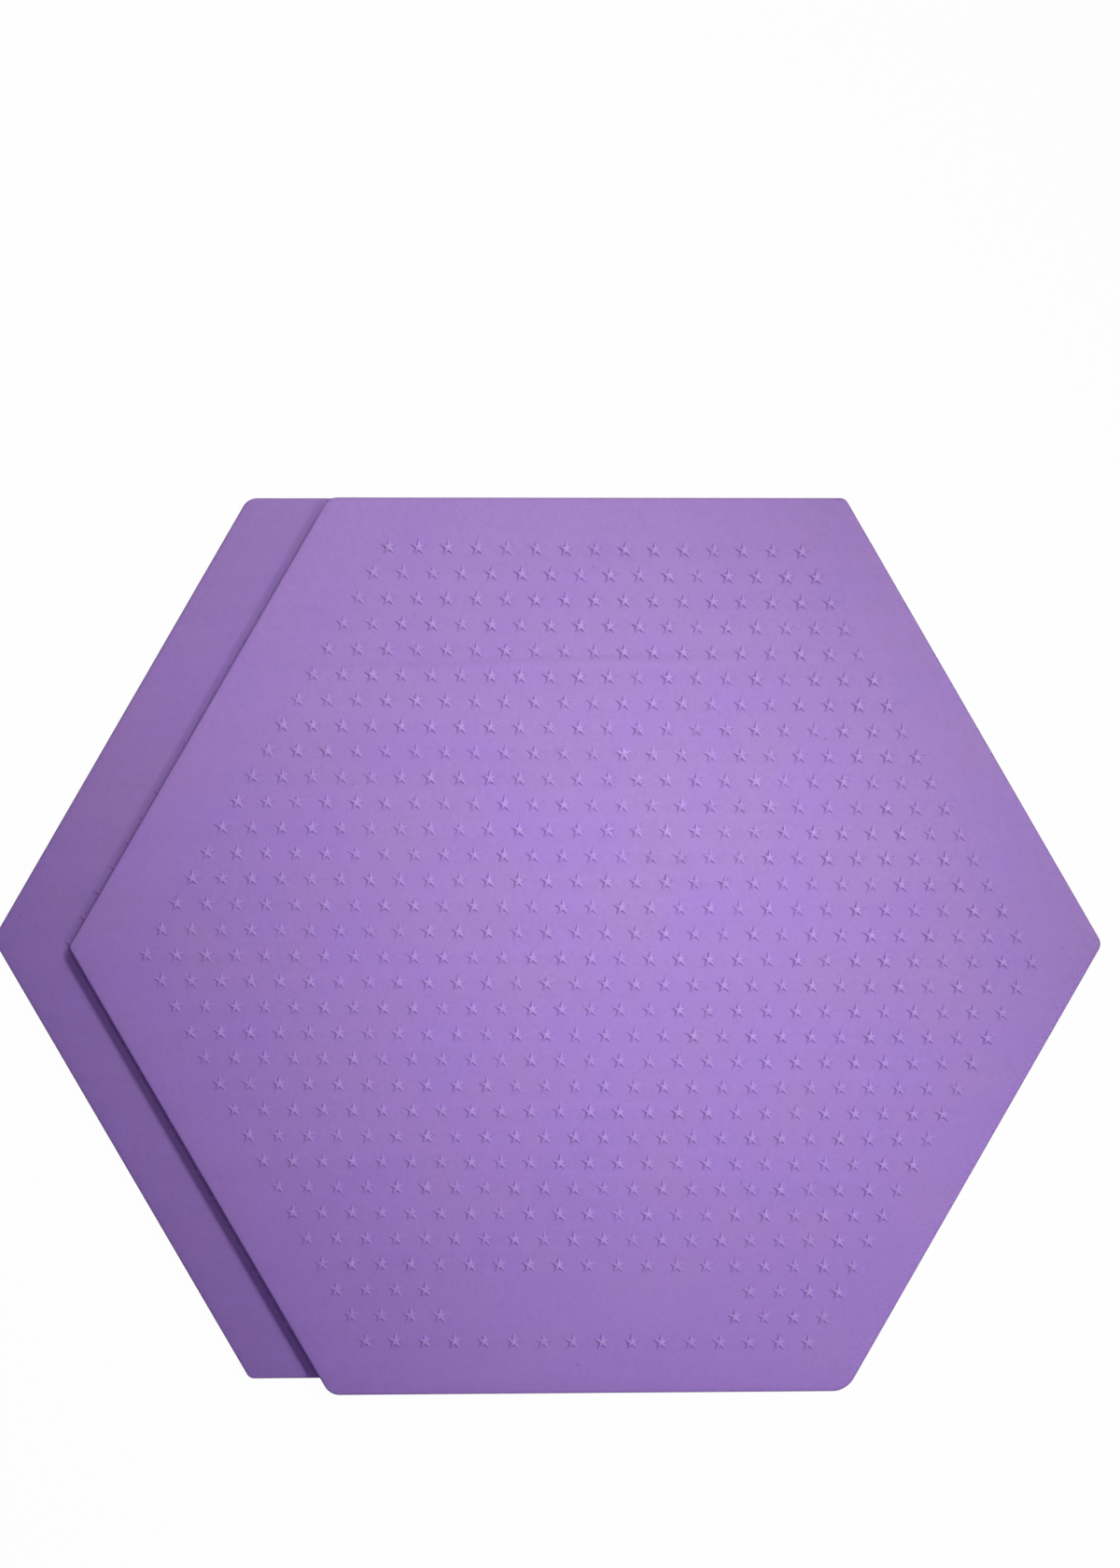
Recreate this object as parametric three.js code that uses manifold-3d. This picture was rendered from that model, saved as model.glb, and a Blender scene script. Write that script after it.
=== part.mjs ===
// A pair of hexagonal foam boards for pin badges, one lying on the other.
// Millimetres, +Z up. The origin is under the middle of the pair, on the surface it lies on.

import * as THREE from "three";
import { mergeVertices } from "three/addons/utils/BufferGeometryUtils.js";
import Module from "manifold-3d";

// One board
const boardFlats = 304.8; // 12 inches from side to side
const boardThick = 10;
const cornerRadii = [2.5, 3, 5, 2.5, 5.5, 6.5]; // from +X round; the die rounds no two quite alike
const rimRound = 0.8; // soft edge that the cutting die leaves

// The stars pressed into its face
const starPoints = 5;
const starPitch = 10.03;
const starRadius = 3.3; // from the middle of a star to a point
const starRise = 0.6;
const starRoot = 0.3; // how far a star's solid reaches into the board
const starMargin = 17; // least distance from the middle of a star to a side

// The sheet is pressed before it is cut, so the field of stars lies slightly askew
const fieldTurn = THREE.MathUtils.degToRad(-0.69);
const fieldShiftX = 1.15;
const fieldShiftY = 0.03;

// The bare panel above the lowest row
const panelWidth = 96;
const panelBottom = 128; // both measured down from the middle of the field
const panelTop = 114;

// How the upper board lies on the lower one
const upperShiftX = 29.2;
const upperShiftY = -1.7;
const seatGap = 0.1; // over the tips of the stars

const foamColour = 0x9c7cc2;
const foamRoughness = 0.7;
const cornerSteps = 3; // each gives two facets in a corner
const rimSteps = 2;

const wasm = await Module();
wasm.setup();

function toSolid(geometry) {
  const plain = geometry.clone();
  plain.deleteAttribute("normal");
  plain.deleteAttribute("uv");
  const merged = mergeVertices(plain);
  const vertProperties = new Float32Array(merged.attributes.position.array);
  const triVerts = new Uint32Array(merged.index.array);
  return new wasm.Manifold(new wasm.Mesh({ numProp: 3, vertProperties, triVerts }));
}

function toGeometry(solid) {
  const { vertProperties, triVerts } = solid.getMesh();
  const geometry = new THREE.BufferGeometry();
  geometry.setAttribute("position", new THREE.BufferAttribute(vertProperties, 3));
  geometry.setIndex(new THREE.BufferAttribute(triVerts, 1));
  geometry.computeVertexNormals();
  return geometry;
}

// Directions of the six sides and of the six corners, with two sides along X
const turnPerSide = (2 * Math.PI) / cornerRadii.length;
const cornerAngles = cornerRadii.map((_, i) => i * turnPerSide);
const sideAngles = cornerAngles.map((angle) => angle + turnPerSide / 2);

// How far a point lies inside the nearest side of a board centred on the origin
function depthInside(x, y) {
  const reach = sideAngles.map((angle) => x * Math.cos(angle) + y * Math.sin(angle));
  return boardFlats / 2 - Math.max(...reach);
}

function boardOutline() {
  const outline = new THREE.Shape();
  cornerRadii.forEach((radius, i) => {
    const angle = cornerAngles[i];
    const arcCentre = (boardFlats / 2 - radius) / Math.cos(turnPerSide / 2);
    const x = arcCentre * Math.cos(angle);
    const y = arcCentre * Math.sin(angle);
    outline.absarc(x, y, radius, angle - turnPerSide / 2, angle + turnPerSide / 2);
  });
  return outline;
}

// The slab lies between z = 0 and boardThick, with its rims rounded above and below
function slab() {
  const geometry = new THREE.ExtrudeGeometry(boardOutline(), {
    depth: boardThick - 2 * rimRound,
    curveSegments: cornerSteps,
    bevelThickness: rimRound,
    bevelSize: rimRound,
    bevelOffset: -rimRound,
    bevelSegments: rimSteps,
  });
  return geometry.translate(0, 0, rimRound);
}

function onPanel(x, y) {
  return Math.abs(x) < panelWidth / 2 && y < -panelTop && y > -panelBottom;
}

// Rows half a row above and below the middle, every other one shifted by half a pitch
function starSpots() {
  const rowPitch = starPitch * Math.cos(Math.PI / 6);
  const reach = Math.ceil(boardFlats / rowPitch);
  const spots = [];
  for (let row = -reach; row < reach; row += 1) {
    const y = (row + 0.5) * rowPitch;
    const rowShift = row % 2 === 0 ? starPitch / 2 : 0;
    for (let column = -reach; column <= reach; column += 1) {
      const x = column * starPitch + rowShift;
      if (depthInside(x, y) >= starMargin && !onPanel(x, y)) {
        const spot = new THREE.Vector2(x, y).rotateAround(new THREE.Vector2(), fieldTurn);
        spots.push(spot.add(new THREE.Vector2(fieldShiftX, fieldShiftY)));
      }
    }
  }
  return spots;
}

// A low five-cornered peak, one corner at each point of the star
function starPeak() {
  const height = starRise + starRoot;
  const rootRadius = (starRadius * height) / starRise;
  const peak = new THREE.ConeGeometry(rootRadius, height, starPoints);
  peak.rotateX(Math.PI / 2).rotateZ(Math.PI + fieldTurn);
  return peak.translate(0, 0, boardThick - starRoot + height / 2);
}

function board(spots) {
  const peak = starPeak();
  let solid = toSolid(slab());
  for (const spot of spots) {
    solid = solid.add(toSolid(peak.clone().translate(spot.x, spot.y, 0)));
  }
  return toGeometry(solid);
}

function foamMesh(name, geometry) {
  const material = new THREE.MeshStandardMaterial({ color: foamColour, roughness: foamRoughness });
  const mesh = new THREE.Mesh(geometry, material);
  mesh.name = name;
  return mesh;
}

const spots = starSpots();

// Under the upper board only the stars whose points can show past its sides are raised
const spotsInSight = spots.filter(
  (spot) => depthInside(spot.x - upperShiftX, spot.y - upperShiftY) < starRadius
);

const lowerBoard = foamMesh("lower_board", board(spotsInSight));
lowerBoard.position.set(-upperShiftX / 2, -upperShiftY / 2, 0);

const upperBoard = foamMesh("upper_board", board(spots));
upperBoard.position.set(upperShiftX / 2, upperShiftY / 2, boardThick + starRise + seatGap);

const boardPair = new THREE.Group();
boardPair.add(lowerBoard, upperBoard);

export default boardPair;
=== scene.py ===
import math
import random

import bmesh
import bpy
from mathutils import Euler, Matrix, Vector


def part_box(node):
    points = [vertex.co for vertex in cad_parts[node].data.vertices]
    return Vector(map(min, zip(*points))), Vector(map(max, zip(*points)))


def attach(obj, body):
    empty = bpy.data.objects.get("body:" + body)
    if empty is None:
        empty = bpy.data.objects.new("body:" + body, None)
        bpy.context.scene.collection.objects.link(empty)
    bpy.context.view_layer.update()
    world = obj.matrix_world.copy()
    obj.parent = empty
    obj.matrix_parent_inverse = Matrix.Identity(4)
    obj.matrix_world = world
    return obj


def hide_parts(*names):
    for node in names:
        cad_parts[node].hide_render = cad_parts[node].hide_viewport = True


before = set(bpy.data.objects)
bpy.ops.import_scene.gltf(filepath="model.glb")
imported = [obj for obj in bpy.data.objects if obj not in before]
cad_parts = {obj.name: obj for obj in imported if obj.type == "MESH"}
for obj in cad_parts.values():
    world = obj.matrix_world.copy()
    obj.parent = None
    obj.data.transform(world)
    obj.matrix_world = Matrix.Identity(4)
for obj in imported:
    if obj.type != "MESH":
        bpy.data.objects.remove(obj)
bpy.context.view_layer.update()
scene = bpy.context.scene
print("frame loaded:", ", ".join(sorted(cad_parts)))


# camera, above the boards as in the photograph
cameraRig = {
    "place": (-0.00305, 0.05456, 0.53845),
    "turn": (-0.045, -0.902, -0.093),  # degrees, very nearly straight down
    "lens": 35,
    "nearest": 0.01,
}


def makeCamera(rig):
    data = bpy.data.cameras.new("camera")
    data.lens = rig["lens"]
    data.clip_start = rig["nearest"]
    camera = bpy.data.objects.new("camera", data)
    camera.location = rig["place"]
    camera.rotation_euler = Euler([math.radians(angle) for angle in rig["turn"]])
    scene.collection.objects.link(camera)
    scene.camera = camera


makeCamera(cameraRig)
print("camera ready")


# one foam board: outline, rim, rolled face and cut wall
boardShape = {
    "thick": 0.01,
    "cornerSegments": 7,
    "sideCuts": 23,  # keeps the faces round the stars short
    "rimRound": 0.0008,
    "rimSegments": 4,
    "rimCutAndShadeReach": 2.5,  # how soon the skin gives way to the darker cut foam round the rim, which there is partly painted shade
    "backBand": 0.0012,  # flat ring that keeps the rim's shading off the back
    "rollWidth": 0.0065,  # the face rolls off gently towards its rim
    "rollDrop": 0.0003,
    "rollPower": 3,
    "rollRings": 5,
    "wallCuts": 5,
    "wallDraw": 0.0002,  # a die-cut wall draws in a little at half height
    "fillTurn": math.radians(11),  # no side is level while the margin is filled
}

# one pressed star, with a ridge along each arm
starShape = {
    "points": 5,
    "rise": 0.00068,
    "rings": [  # reach of the points, reach of the notches, share of the rise
        (0.0036, 0.0017, 0.0),  # flat collar
        (0.0033, 0.0013, 0.0),
        (0.0015, 0.00075, 0.8),
    ],
    "faintest": 0.65,  # no two stars are pressed quite alike
    "seed": 5,
}

# the field of stars, pressed before the board was cut and so a little askew
fieldLayout = {
    "pitch": 0.01003,
    "margin": 0.017,
    "turn": math.radians(-0.69),
    "shift": (0.00115, 0.00003, 0),
    "panelWidth": 0.096,  # bare panel above the lowest row
    "panelTop": -0.114,
    "panelBottom": -0.128,
    "weld": 0.00001,
}


def vertsOf(geom):
    return [item for item in geom if isinstance(item, bmesh.types.BMVert)]


def edgesBetween(verts):
    inside = set(verts)
    edges = {edge for vert in verts for edge in vert.link_edges}
    return [edge for edge in edges if inside.issuperset(edge.verts)]


def edgesAt(bm, height):
    return [edge for edge in bm.edges if all(abs(vert.co.z - height) < 1e-6 for vert in edge.verts)]


def uprights(bm, least):
    return [edge for edge in bm.edges if abs(edge.verts[0].co.z - edge.verts[1].co.z) > least]


def flatFace(bm, upward):
    faces = [face for face in bm.faces if face.normal.z * upward > 0.99]
    return max(faces, key=lambda face: face.calc_area())


# hexagon with its corners at 0, 60, 120 degrees and so on, rounded
def boardOutline(bm, flats, corners, shape):
    radius = flats / math.sqrt(3)
    sharp = bmesh.ops.create_circle(bm, cap_ends=True, segments=6, radius=radius)["verts"]
    bmesh.ops.rotate(bm, verts=sharp, matrix=Matrix.Rotation(math.radians(-90), 3, "Z"))
    for corner, rounding in zip(sharp, corners):
        bmesh.ops.bevel(
            bm,
            geom=[corner],
            offset=rounding * math.tan(math.radians(30)),
            segments=shape["cornerSegments"],
            profile=0.5,
            affect="VERTICES",
            material=-1,
        )
    sides = [edge for edge in bm.edges if edge.calc_length() > flats / 3]
    bmesh.ops.subdivide_edges(bm, edges=sides, cuts=shape["sideCuts"])
    return bm.faces[:]


# the wall draws in as a shallow curve
def drawWall(bm, shape):
    middle = shape["thick"] / 2
    straight = middle - shape["rimRound"]
    for vert in bm.verts:
        level = (vert.co.z - middle) / straight
        if abs(level) < 1:
            outward = Vector((vert.co.x, vert.co.y, 0)).normalized()
            vert.co -= outward * shape["wallDraw"] * (1 - level ** 2)


# slab with round rims, open on top where the star field goes
def makeSlab(bm, flats, corners, shape):
    thick = shape["thick"]
    outline = boardOutline(bm, flats, corners, shape)
    raised = bmesh.ops.extrude_face_region(bm, geom=outline)["geom"]
    bmesh.ops.translate(bm, verts=vertsOf(raised), vec=(0, 0, thick))
    bmesh.ops.recalc_face_normals(bm, faces=bm.faces[:])
    bmesh.ops.bevel(
        bm,
        geom=edgesAt(bm, 0) + edgesAt(bm, thick),
        offset=shape["rimRound"],
        segments=shape["rimSegments"],
        profile=0.5,
        affect="EDGES",
        material=-1,
    )
    walls = uprights(bm, thick / 2)
    bmesh.ops.subdivide_edges(bm, edges=walls, cuts=shape["wallCuts"], use_grid_fill=True)
    drawWall(bm, shape)
    back = flatFace(bm, -1)
    bmesh.ops.inset_region(bm, faces=[back], thickness=shape["backBand"], use_even_offset=True)
    reach = flats / 2 - shape["rimRound"]
    step = (shape["rollWidth"] - shape["rimRound"]) / shape["rollRings"]
    for ring in range(shape["rollRings"]):  # scaled rings keep the corners round
        bmesh.ops.inset_region(bm, faces=[flatFace(bm, 1)], thickness=0)
        inner = 1 - step / (reach - ring * step)
        bmesh.ops.scale(bm, verts=flatFace(bm, 1).verts[:], vec=(inner, inner, 1))
    bmesh.ops.delete(bm, geom=[flatFace(bm, 1)], context="FACES_ONLY")


# hexagonal patch of the face with one raised star in its middle
def starPatch(bm, pitch, star):
    patch = bmesh.ops.create_circle(bm, segments=6, radius=pitch / math.sqrt(3))["verts"]
    tip, notch = star["rings"][0][:2]
    ring = bmesh.ops.create_circle(bm, segments=2 * star["points"], radius=tip)["verts"]
    bmesh.ops.scale(bm, verts=ring[1::2], vec=(notch / tip, notch / tip, 1))
    loop = edgesBetween(ring)
    gap = edgesBetween(patch) + loop
    bmesh.ops.triangle_fill(bm, use_beauty=True, edges=gap, normal=(0, 0, 1))
    for nextTip, nextNotch, nextLift in star["rings"][1:]:
        grown = vertsOf(bmesh.ops.extrude_edge_only(bm, edges=loop)["geom"])
        for vert in grown:
            reach = nextTip if vert.co.xy.length > (tip + notch) / 2 else nextNotch
            vert.co.xy = vert.co.xy.normalized() * reach
            vert.co.z = nextLift * star["rise"]
        loop = edgesBetween(grown)
        tip, notch = nextTip, nextNotch
    crown = bmesh.ops.edgeloop_fill(bm, edges=loop)["faces"]
    for vert in bmesh.ops.poke(bm, faces=crown)["verts"]:
        vert.co.z = star["rise"]


def barePatch(bm, pitch):
    bmesh.ops.create_circle(bm, cap_ends=True, segments=6, radius=pitch / math.sqrt(3))


# how far a place lies inside the nearest side of the hexagon
def edgeDepth(flats, x, y):
    sides = [math.radians(30 + 60 * side) for side in range(6)]
    return flats / 2 - max(x * math.cos(side) + y * math.sin(side) for side in sides)


# rows half a row above and below the middle, every other one half a pitch along
def starPlaces(flats, layout):
    pitch = layout["pitch"]
    rowPitch = pitch * math.cos(math.radians(30))
    reach = math.ceil(flats / rowPitch)
    starred, bare = [], []
    for row in range(-reach, reach):
        y = (row + 0.5) * rowPitch
        for column in range(-reach, reach + 1):
            x = column * pitch + (pitch / 2 if row % 2 == 0 else 0)
            if edgeDepth(flats, x, y) < layout["margin"]:
                continue
            inRows = layout["panelBottom"] < y < layout["panelTop"]
            onPanel = inRows and abs(x) < layout["panelWidth"] / 2
            places = bare if onPanel else starred
            places.append(Vector((x, y, 0)))
    return starred, bare


def repeatPatch(bm, single, places, star):
    patch = bpy.data.meshes.new("patch")
    single.to_mesh(patch)
    single.free()
    chance = random.Random(star["seed"])
    for place in places:
        press = chance.uniform(star["faintest"], 1)
        copy = patch.copy()
        copy.transform(Matrix.Translation(place) @ Matrix.Diagonal((1, 1, press, 1)))
        bm.from_mesh(copy)
        bpy.data.meshes.remove(copy)
    bpy.data.meshes.remove(patch)


def makeStarField(bm, flats, layout, star):
    starred, bare = starPlaces(flats, layout)
    starCell, bareCell = bmesh.new(), bmesh.new()
    starPatch(starCell, layout["pitch"], star)
    barePatch(bareCell, layout["pitch"])
    repeatPatch(bm, starCell, starred, star)
    repeatPatch(bm, bareCell, bare, star)
    bmesh.ops.remove_doubles(bm, verts=bm.verts[:], dist=layout["weld"])
    bmesh.ops.rotate(bm, verts=bm.verts[:], matrix=Matrix.Rotation(layout["turn"], 3, "Z"))
    bmesh.ops.translate(bm, verts=bm.verts[:], vec=layout["shift"])
    print("star field:", len(starred), "stars,", len(bare), "bare places")


# the margin between the star field and the slab's open top
def fillMargin(bm, turn):
    askew = Matrix.Rotation(turn, 3, "Z")
    bmesh.ops.rotate(bm, verts=bm.verts[:], matrix=askew)
    rims = [edge for edge in bm.edges if edge.is_boundary]
    bmesh.ops.triangle_fill(bm, use_beauty=True, edges=rims, normal=(0, 0, 1))
    bmesh.ops.rotate(bm, verts=bm.verts[:], matrix=askew.inverted())
    bmesh.ops.recalc_face_normals(bm, faces=bm.faces[:])


# marks skin, cut wall and star tips for the material, and rolls the face off
def finishFace(bm, flats, shape, star):
    thick = shape["thick"]
    cut = bm.verts.layers.float.new("cutEdge")  # 1 on the cut wall and most of the rim, where it also carries painted shade, 0 on the pressed skin
    raised = bm.verts.layers.float.new("raised")  # 1 on the tip of a star
    for vert in bm.verts:
        inwards = min(vert.co.z, thick - vert.co.z) / shape["rimRound"] * shape["rimCutAndShadeReach"]
        vert[cut] = max(0.0, min(1.0, inwards))
        vert[raised] = max(0.0, vert.co.z - thick) / star["rise"]
        nearRim = max(0.0, 1 - edgeDepth(flats, vert.co.x, vert.co.y) / shape["rollWidth"])
        vert.co.z -= shape["rollDrop"] * nearRim ** shape["rollPower"] * vert.co.z / thick
    for face in bm.faces:
        face.smooth = all(vert[raised] < 0.01 for vert in face.verts)  # the stars keep their ridges


# the field is set into the slab's open top
def boardMesh(flats, corners, slip):
    bm = bmesh.new()
    makeStarField(bm, flats, fieldLayout, starShape)
    lift = Vector(slip) + Vector((0, 0, boardShape["thick"]))
    bmesh.ops.translate(bm, verts=bm.verts[:], vec=lift)
    slab = bmesh.new()
    makeSlab(slab, flats, corners, boardShape)
    mesh = bpy.data.meshes.new("board")
    slab.to_mesh(mesh)
    slab.free()
    bm.from_mesh(mesh)
    fillMargin(bm, boardShape["fillTurn"])
    finishFace(bm, flats, boardShape, starShape)
    bm.to_mesh(mesh)
    bm.free()
    print("board mesh:", len(mesh.polygons), "faces")
    return mesh


def makeBoard(name, node, corners, slip):
    low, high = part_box(node)
    centre = (low + high) / 2
    mesh = boardMesh(high.y - low.y, corners, slip)
    mesh.transform(Matrix.Translation((centre.x, centre.y, low.z)))
    board = bpy.data.objects.new(name, mesh)
    scene.collection.objects.link(board)
    return board


# a socket that can be written into sums; any other node comes from make
class Wire:
    def __init__(self, tree, socket=None):
        self.tree = tree
        self.socket = socket

    def make(self, kind, settings=None, sockets=None, out=0):
        node = self.tree.nodes.new(kind)
        for key, value in (settings or {}).items():
            setattr(node, key, value)
        for key, value in (sockets or {}).items():
            if isinstance(value, Wire):
                self.tree.links.new(value.socket, node.inputs[key])
            else:
                node.inputs[key].default_value = value
        return Wire(self.tree, node.outputs[out] if node.outputs else None)

    def maths(self, operation, first, second):
        return self.make("ShaderNodeMath", {"operation": operation}, {0: first, 1: second})

    def __add__(self, other):
        return self.maths("ADD", self, other)

    def __radd__(self, other):
        return self.maths("ADD", other, self)

    def __sub__(self, other):
        return self.maths("SUBTRACT", self, other)

    def __rsub__(self, other):
        return self.maths("SUBTRACT", other, self)

    def __mul__(self, other):
        return self.maths("MULTIPLY", self, other)

    def __rmul__(self, other):
        return self.maths("MULTIPLY", other, self)


# pressed foam skin on the faces, open cells on the cut walls
foamLook = {
    "paleSkin": (0.447, 0.272, 0.7, 1),
    "deepSkin": (0.38, 0.231, 0.596, 1),
    "drift": {"scale": 40, "detail": 3, "tone": 0.5},  # broad clouds in the dye
    "streaks": {"scale": 30, "detail": 4, "stretch": (0.25, 6, 1), "tone": 0.5, "bump": 0.8},
    "mottle": {"scale": 1 / 0.0018, "detail": 2, "tone": 0.8},
    "grain": {"scale": 1 / 0.0006, "detail": 2, "tone": 1.1, "bump": 0.6, "rough": 0.1},
    "toneLess": 0.95,
    "farPaintedLight": (1.0, 1.01, 0.955, 1),  # painted light: a cooler light painted in from the far side to the near one
    "nearPaintedLight": (1.0, 1.0, 1.055, 1),
    "paintedLightShare": {"perMetre": -4, "drift": 3, "less": 1},
    # the crease's dark band is painted shade and its pale band is a painted highlight
    "crease": {
        "slope": 0.025, "height": 0.0975, "middle": 0.012, "reach": 0.14, "width": 0.0024,
        "wander": {"scale": 25, "detail": 2, "width": 0.0024},
        "dark": 0.055, "pale": 0.03, "paintedHighlightStep": 1.1,
    },
    "tips": (0.62, 0.44, 0.86, 1),  # paler towards the top of each star
    "tipShare": 0.72,
    "dust": (0.16, 0.09, 0.2, 1),  # a few dark specks
    "dustScale": 9,
    "dustSize": 0.0006,
    "dustShare": 0.6,
    # darker cut foam, which over the rim also paints the shade of the dark outline along the edges
    "cutCellsAndRimShade": (0.205, 0.132, 0.325, 1),
    "cutShare": 0.9,
    "cutRough": 0.2,
    "cellSize": 0.0004,
    "roughness": 0.62,
    "specular": 0.35,
    "bump": 0.00006,
    "bumpStrength": 0.5,
}


def noise(wire, place, layer):
    stretch = layer.get("stretch", (1, 1, 1))
    spot = wire.make("ShaderNodeMapping", None, {"Vector": place, "Scale": stretch})
    sockets = {"Vector": spot, "Scale": layer["scale"], "Detail": layer["detail"]}
    return wire.make("ShaderNodeTexNoise", None, sockets)


def mixColour(wire, share, first, second, blend="MIX"):
    settings = {"data_type": "RGBA", "blend_type": blend}
    return wire.make("ShaderNodeMix", settings, {0: share, 6: first, 7: second}, out=2)


def tint(wire, colour, by):
    return mixColour(wire, 1.0, colour, by, "MULTIPLY")


def clamp(wire, value):
    return wire.make("ShaderNodeClamp", None, {"Value": value})


def along(wire, place, axis):
    return wire.make("ShaderNodeSeparateXYZ", None, {"Vector": place}, out=axis)


# share of a band left at a distance from its middle, 1 there and 0 at its edge
def band(wire, distance, width):
    away = wire.make("ShaderNodeMath", {"operation": "ABSOLUTE"}, {0: distance})
    sockets = {"Value": away, "From Min": 0.0, "From Max": width, "To Min": 1.0, "To Max": 0.0}
    return wire.make("ShaderNodeMapRange", {"interpolation_type": "SMOOTHSTEP"}, sockets)


# an old crease across the board, with painted shade along one side and a painted highlight along the
# other
def creasePaintedShading(wire, place, crease):
    x, y = along(wire, place, "X"), along(wire, place, "Y")
    wander = noise(wire, place, crease["wander"]) * crease["wander"]["width"]
    distance = y - x * crease["slope"] - crease["height"] + wander
    width = crease["width"]
    dark = band(wire, distance, width) * crease["dark"]
    pale = band(wire, distance + width * crease["paintedHighlightStep"], width) * crease["pale"]
    return (pale - dark) * band(wire, x - crease["middle"], crease["reach"]) + 1


def makeFoam(name, look, depth, creased):
    material = bpy.data.materials.new(name + "_foam")
    material.use_nodes = True
    material.node_tree.nodes.clear()
    wire = Wire(material.node_tree)
    place = wire.make("ShaderNodeTexCoord", out="Object")
    cut = wire.make("ShaderNodeAttribute", {"attribute_name": "cutEdge"}, out="Fac")
    raised = wire.make("ShaderNodeAttribute", {"attribute_name": "raised"}, out="Fac")
    names = ("drift", "streaks", "mottle", "grain")
    drift, streaks, mottle, grain = [noise(wire, place, look[layer]) for layer in names]

    # skin: tone, painted cooler light towards the near side, painted shade and highlight along the
    # crease, pale star tips and specks
    tone = drift * look["drift"]["tone"] + streaks * look["streaks"]["tone"]
    tone = tone + mottle * look["mottle"]["tone"] + grain * look["grain"]["tone"]
    tone = clamp(wire, tone - look["toneLess"])
    skin = mixColour(wire, tone, look["paleSkin"], look["deepSkin"])
    # painted light: the skin turns bluer towards the near side, as under a cooler light there
    share = look["paintedLightShare"]
    near = along(wire, place, "Y") * share["perMetre"] + drift * share["drift"] - share["less"]
    paintedLightTint = mixColour(wire, clamp(wire, near), look["farPaintedLight"], look["nearPaintedLight"])
    # painted shade and painted highlight along the crease
    if creased:
        skin = tint(wire, skin, creasePaintedShading(wire, place, look["crease"]))
    skin = tint(wire, skin, paintedLightTint)
    skin = mixColour(wire, raised * raised * look["tipShare"], skin, look["tips"])
    sockets = {"Vector": place, "Scale": look["dustScale"]}
    specks = wire.make("ShaderNodeTexVoronoi", {"voronoi_dimensions": "2D"}, sockets)
    dust = band(wire, specks, look["dustSize"] * look["dustScale"])
    skin = mixColour(wire, dust * look["dustShare"], skin, look["dust"])

    # cut wall: darker open cells, carried over the rim as painted shade along the edges
    sockets = {"Vector": place, "Scale": 1 / look["cellSize"]}
    cells = wire.make("ShaderNodeTexVoronoi", None, sockets)
    colour = mixColour(wire, cut * look["cutShare"], skin, look["cutCellsAndRimShade"])
    colour = tint(wire, colour, (depth, depth, depth, 1))
    pores = grain * look["grain"]["bump"] + streaks * look["streaks"]["bump"]
    height = (1 - cut) * pores + cut * cells
    sockets = {"Height": height, "Strength": look["bumpStrength"], "Distance": look["bump"]}
    bump = wire.make("ShaderNodeBump", None, sockets)
    rough = look["roughness"] + (grain - 0.5) * look["grain"]["rough"] + cut * look["cutRough"]
    shader = wire.make("ShaderNodeBsdfPrincipled", None, {
        "Base Color": colour,
        "Roughness": rough,
        "Normal": bump,
        "Specular IOR Level": look["specular"],
    })
    wire.make("ShaderNodeOutputMaterial", None, {"Surface": shader})
    return material


# what sets the two boards apart: corner radii from +X round, slip of the stars, how bright the board
# is painted all over and whether it has the crease
boardBatch = {
    "lower_board": {
        "corners": (0.0025, 0.003, 0.0053, 0.0025, 0.0028, 0.0065),
        "slip": (0.00097, 0.00088, 0),
        "depth": 0.905,
        "creased": False,
    },
    "upper_board": {
        "corners": (0.0038, 0.0028, 0.005, 0.0025, 0.0055, 0.0082),
        "slip": (0, 0, 0),
        "depth": 1.0,
        "creased": True,
    },
}

for node, batch in boardBatch.items():
    board = makeBoard(node.replace("_board", "_foam_board"), node, batch["corners"], batch["slip"])
    board.data.materials.append(makeFoam(node, foamLook, batch["depth"], batch["creased"]))
    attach(board, node)
    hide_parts(node)
print("boards ready")


# white ground that still takes the boards' shadow
groundLook = {
    "size": 3.0,
    "drop": 0.0002,  # just clear of the lower board's back
    "paper": (0.85, 0.85, 0.85, 1),
    "glow": 0.98,
}


def makeGround(look):
    bm = bmesh.new()
    bmesh.ops.create_grid(bm, x_segments=1, y_segments=1, size=look["size"])
    bmesh.ops.translate(bm, verts=bm.verts[:], vec=(0, 0, -look["drop"]))
    mesh = bpy.data.meshes.new("ground")
    bm.to_mesh(mesh)
    bm.free()
    material = bpy.data.materials.new("whiteGround")
    material.use_nodes = True
    material.node_tree.nodes.clear()
    wire = Wire(material.node_tree)
    kinds = ("Is Camera Ray", "Is Glossy Ray", "Is Transmission Ray")
    seen, glossy, through = [wire.make("ShaderNodeLightPath", out=kind) for kind in kinds]
    paper = wire.make("ShaderNodeBsdfDiffuse", None, {"Color": look["paper"]})
    glow = wire.make("ShaderNodeEmission", None, {"Strength": 1.0})
    share = wire.maths("MINIMUM", seen + glossy + through, 1.0) * look["glow"]
    mixed = wire.make("ShaderNodeMixShader", None, {0: share, 1: paper, 2: glow})
    wire.make("ShaderNodeOutputMaterial", None, {"Surface": mixed})
    mesh.materials.append(material)
    ground = bpy.data.objects.new("ground", mesh)
    scene.collection.objects.link(ground)


makeGround(groundLook)
print("ground ready")


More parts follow.
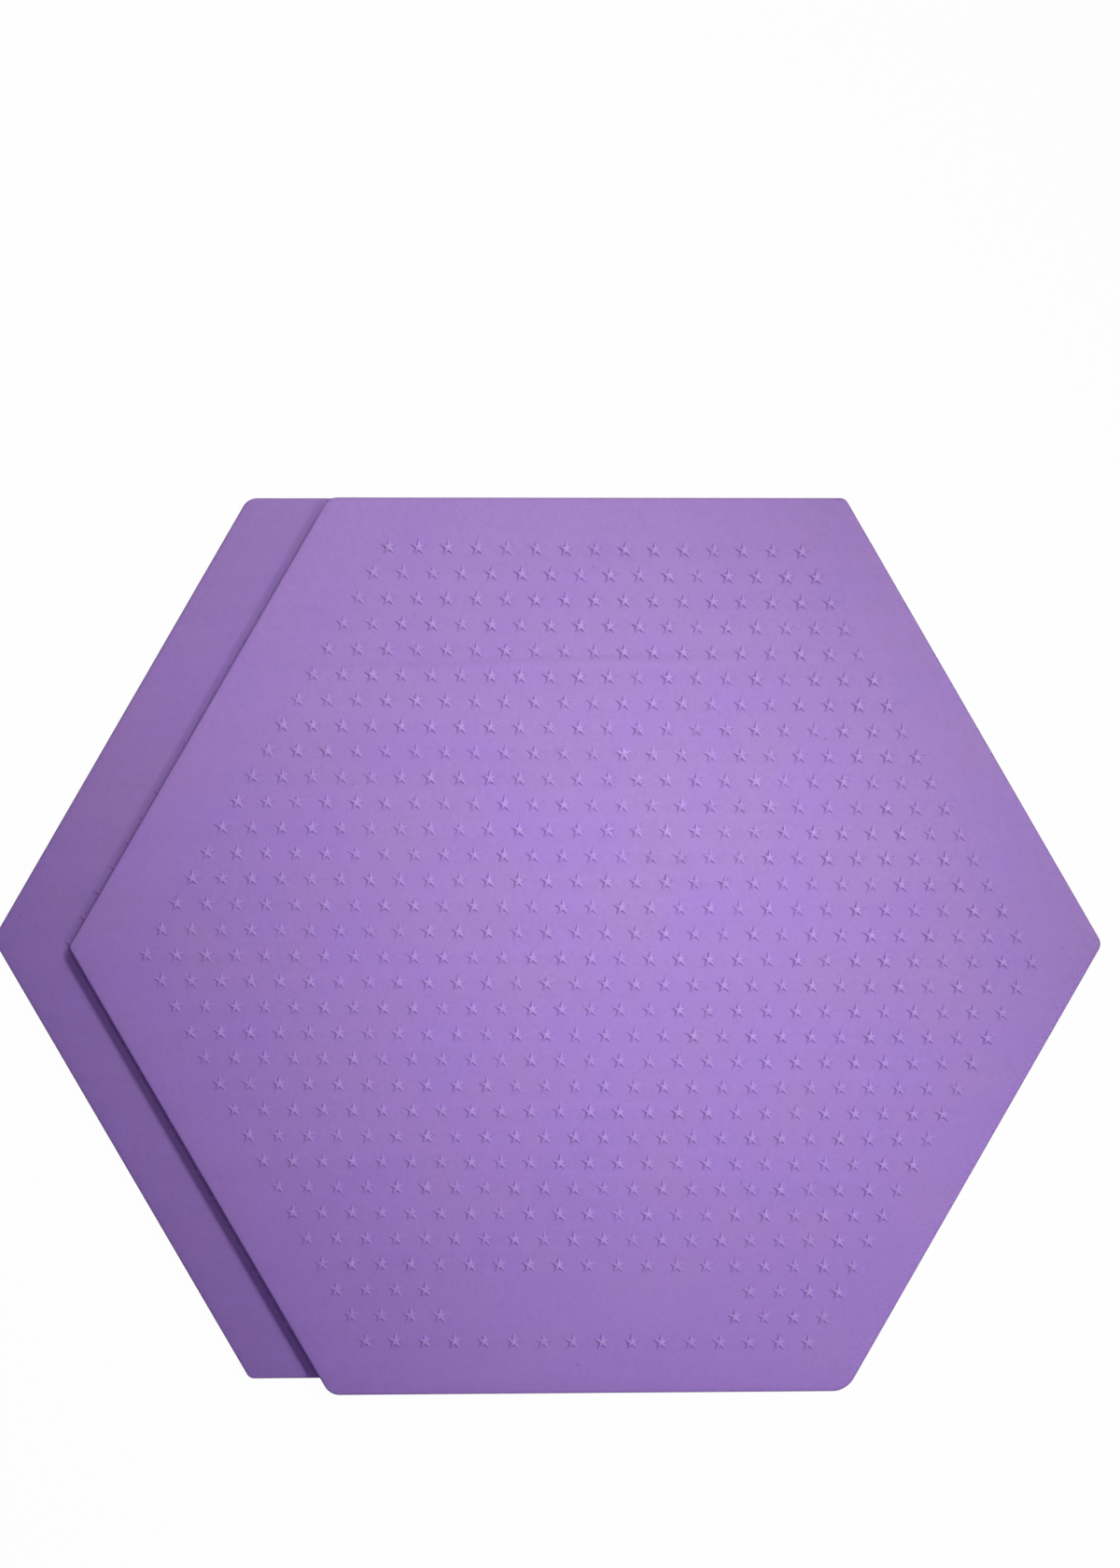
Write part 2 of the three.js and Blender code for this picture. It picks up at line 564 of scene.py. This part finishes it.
# a long soft box beyond the upper right corner, gridded so that it falls off towards the lower left,
# and a pool of light from the right that brings out the stars
lampRig = {
    "topKey": {
        "kind": "AREA",
        "place": (0.614, 0.756, 1.5),
        "aim": (-0.06, 0.129, 0.02),
        "bearing": 120,  # degrees, which way the long side runs
        "size": (1.04, 0.26),
        "cone": 18.7,
        "watts": 0.667,
        "tint": (1, 1, 1),
    },
    "pool": {
        "kind": "SPOT",
        "place": (0.544, -0.057, 1.2),
        "aim": (0.053, 0.049, 0.02),
        "bearing": 0,
        "size": (0.15, 0.15),
        "cone": 16,
        "watts": 37.6,
        "tint": (1, 1, 0.96),
    },
}
airLight = {"strength": 0.147, "tint": (1.06, 0.8, 1.34, 1)}


def makeLamp(name, lamp):
    data = bpy.data.lights.new(name, lamp["kind"])
    data.energy = lamp["watts"]
    data.color = lamp["tint"]
    if lamp["kind"] == "AREA":
        data.shape = "RECTANGLE"
        data.size, data.size_y = lamp["size"]
        data.spread = math.radians(lamp["cone"])
    else:
        data.shadow_soft_size = lamp["size"][0]
        data.spot_size = math.radians(lamp["cone"])
        data.spot_blend = 1
    lampObject = bpy.data.objects.new(name, data)
    lampObject.location = lamp["place"]
    bearing = math.radians(lamp["bearing"])
    away = (Vector(lamp["place"]) - Vector(lamp["aim"])).normalized()
    across = away.cross((math.cos(bearing), math.sin(bearing), 0)).normalized()
    lampObject.rotation_euler = Matrix((across.cross(away), across, away)).transposed().to_euler()
    lampObject.visible_camera = False
    scene.collection.objects.link(lampObject)


def makeAir(look):
    world = bpy.data.worlds.new("air")
    world.use_nodes = True
    scene.world = world
    world.node_tree.nodes.clear()
    wire = Wire(world.node_tree)
    seen = wire.make("ShaderNodeLightPath", out="Is Camera Ray")
    sockets = {"Color": look["tint"], "Strength": look["strength"]}
    soft = wire.make("ShaderNodeBackground", None, sockets)
    white = wire.make("ShaderNodeBackground", None, {"Color": (1, 1, 1, 1), "Strength": 1.0})
    mixed = wire.make("ShaderNodeMixShader", None, {0: seen, 1: soft, 2: white})
    wire.make("ShaderNodeOutputWorld", None, {"Surface": mixed})


for name, lamp in lampRig.items():
    makeLamp(name, lamp)
makeAir(airLight)
scene.view_settings.view_transform = "Standard"
print("light ready")
